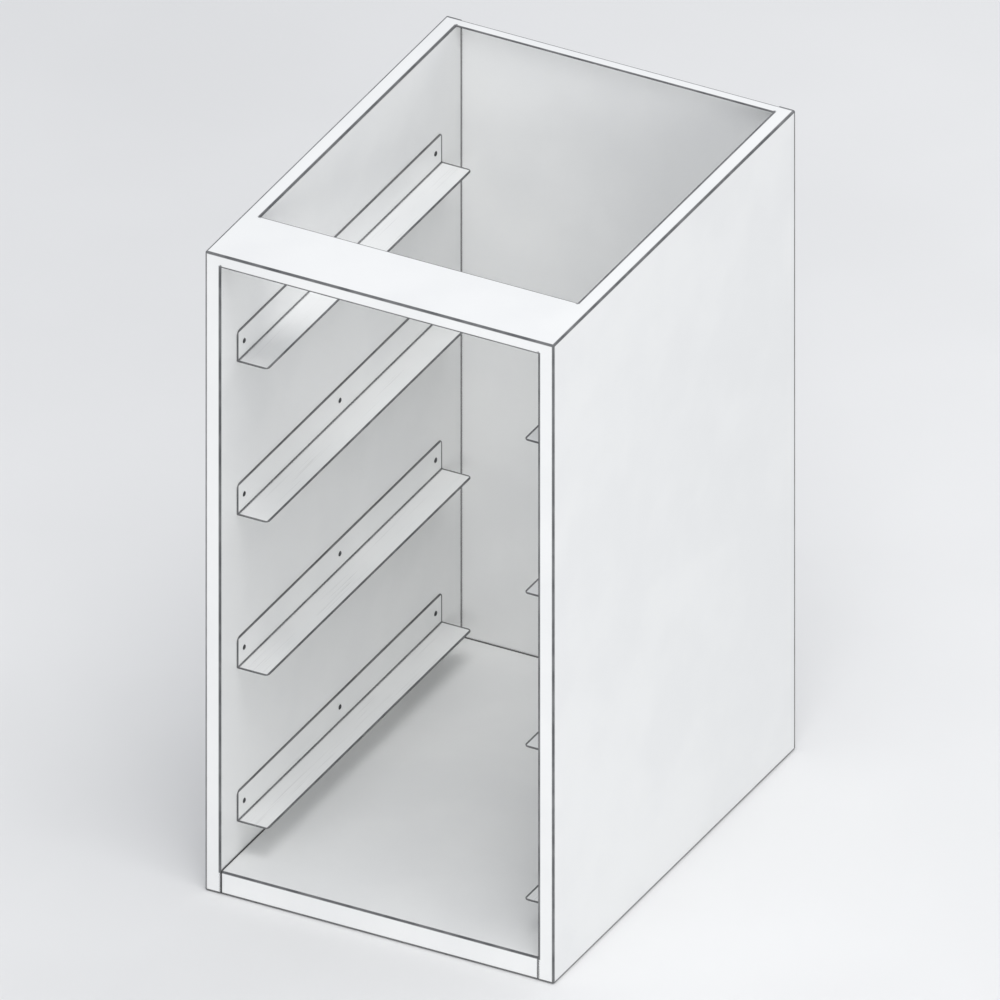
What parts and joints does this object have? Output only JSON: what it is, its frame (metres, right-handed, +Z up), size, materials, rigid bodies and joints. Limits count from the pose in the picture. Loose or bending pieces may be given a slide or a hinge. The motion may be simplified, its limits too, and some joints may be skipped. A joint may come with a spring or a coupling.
{
  "type": "open-front base cabinet",
  "caption": "Open-front, open-top sheet-steel base cabinet with double-skinned sides, thin back, pan bottom, top front rail and angle runners for slide-in trays.",
  "frame": {"origin": "on the floor, in the middle of the cabinet's width and depth", "axes": "+Z up; the open front faces -Y; +X is to the right for someone who faces the front"},
  "size_m": [0.45, 0.59, 0.85],
  "materials": {
    "body_coating": "white powder coat, satin, fine texture",
    "runner_coating": "white powder coat, satin, fine texture",
    "rivet_steel": "dark zinc plating",
    "galvanised": "galvanised sheet, dull"
  },
  "bodies": {
    "root": {"left_outer_panel": "body_coating", "left_inner_panel": "body_coating", "left_front_stiffener": "galvanised", "left_middle_stiffener": "galvanised", "left_rear_stiffener": "galvanised", "right_outer_panel": "body_coating", "right_inner_panel": "body_coating", "right_front_stiffener": "galvanised", "right_middle_stiffener": "galvanised", "right_rear_stiffener": "galvanised", "back_panel": "body_coating", "bottom_panel": "body_coating", "bottom_stiffener": "galvanised", "left_bottom_rivets": "rivet_steel", "right_bottom_rivets": "rivet_steel", "top_front_rail": "body_coating", "left_runner_1": "runner_coating", "left_runner_1_rivets": "rivet_steel", "right_runner_1": "runner_coating", "right_runner_1_rivets": "rivet_steel", "left_runner_2": "runner_coating", "left_runner_2_rivets": "rivet_steel", "right_runner_2": "runner_coating", "right_runner_2_rivets": "rivet_steel", "left_runner_3": "runner_coating", "left_runner_3_rivets": "rivet_steel", "right_runner_3": "runner_coating", "right_runner_3_rivets": "rivet_steel", "left_runner_4": "runner_coating", "left_runner_4_rivets": "rivet_steel", "right_runner_4": "runner_coating", "right_runner_4_rivets": "rivet_steel"}
  },
  "joints": []
}
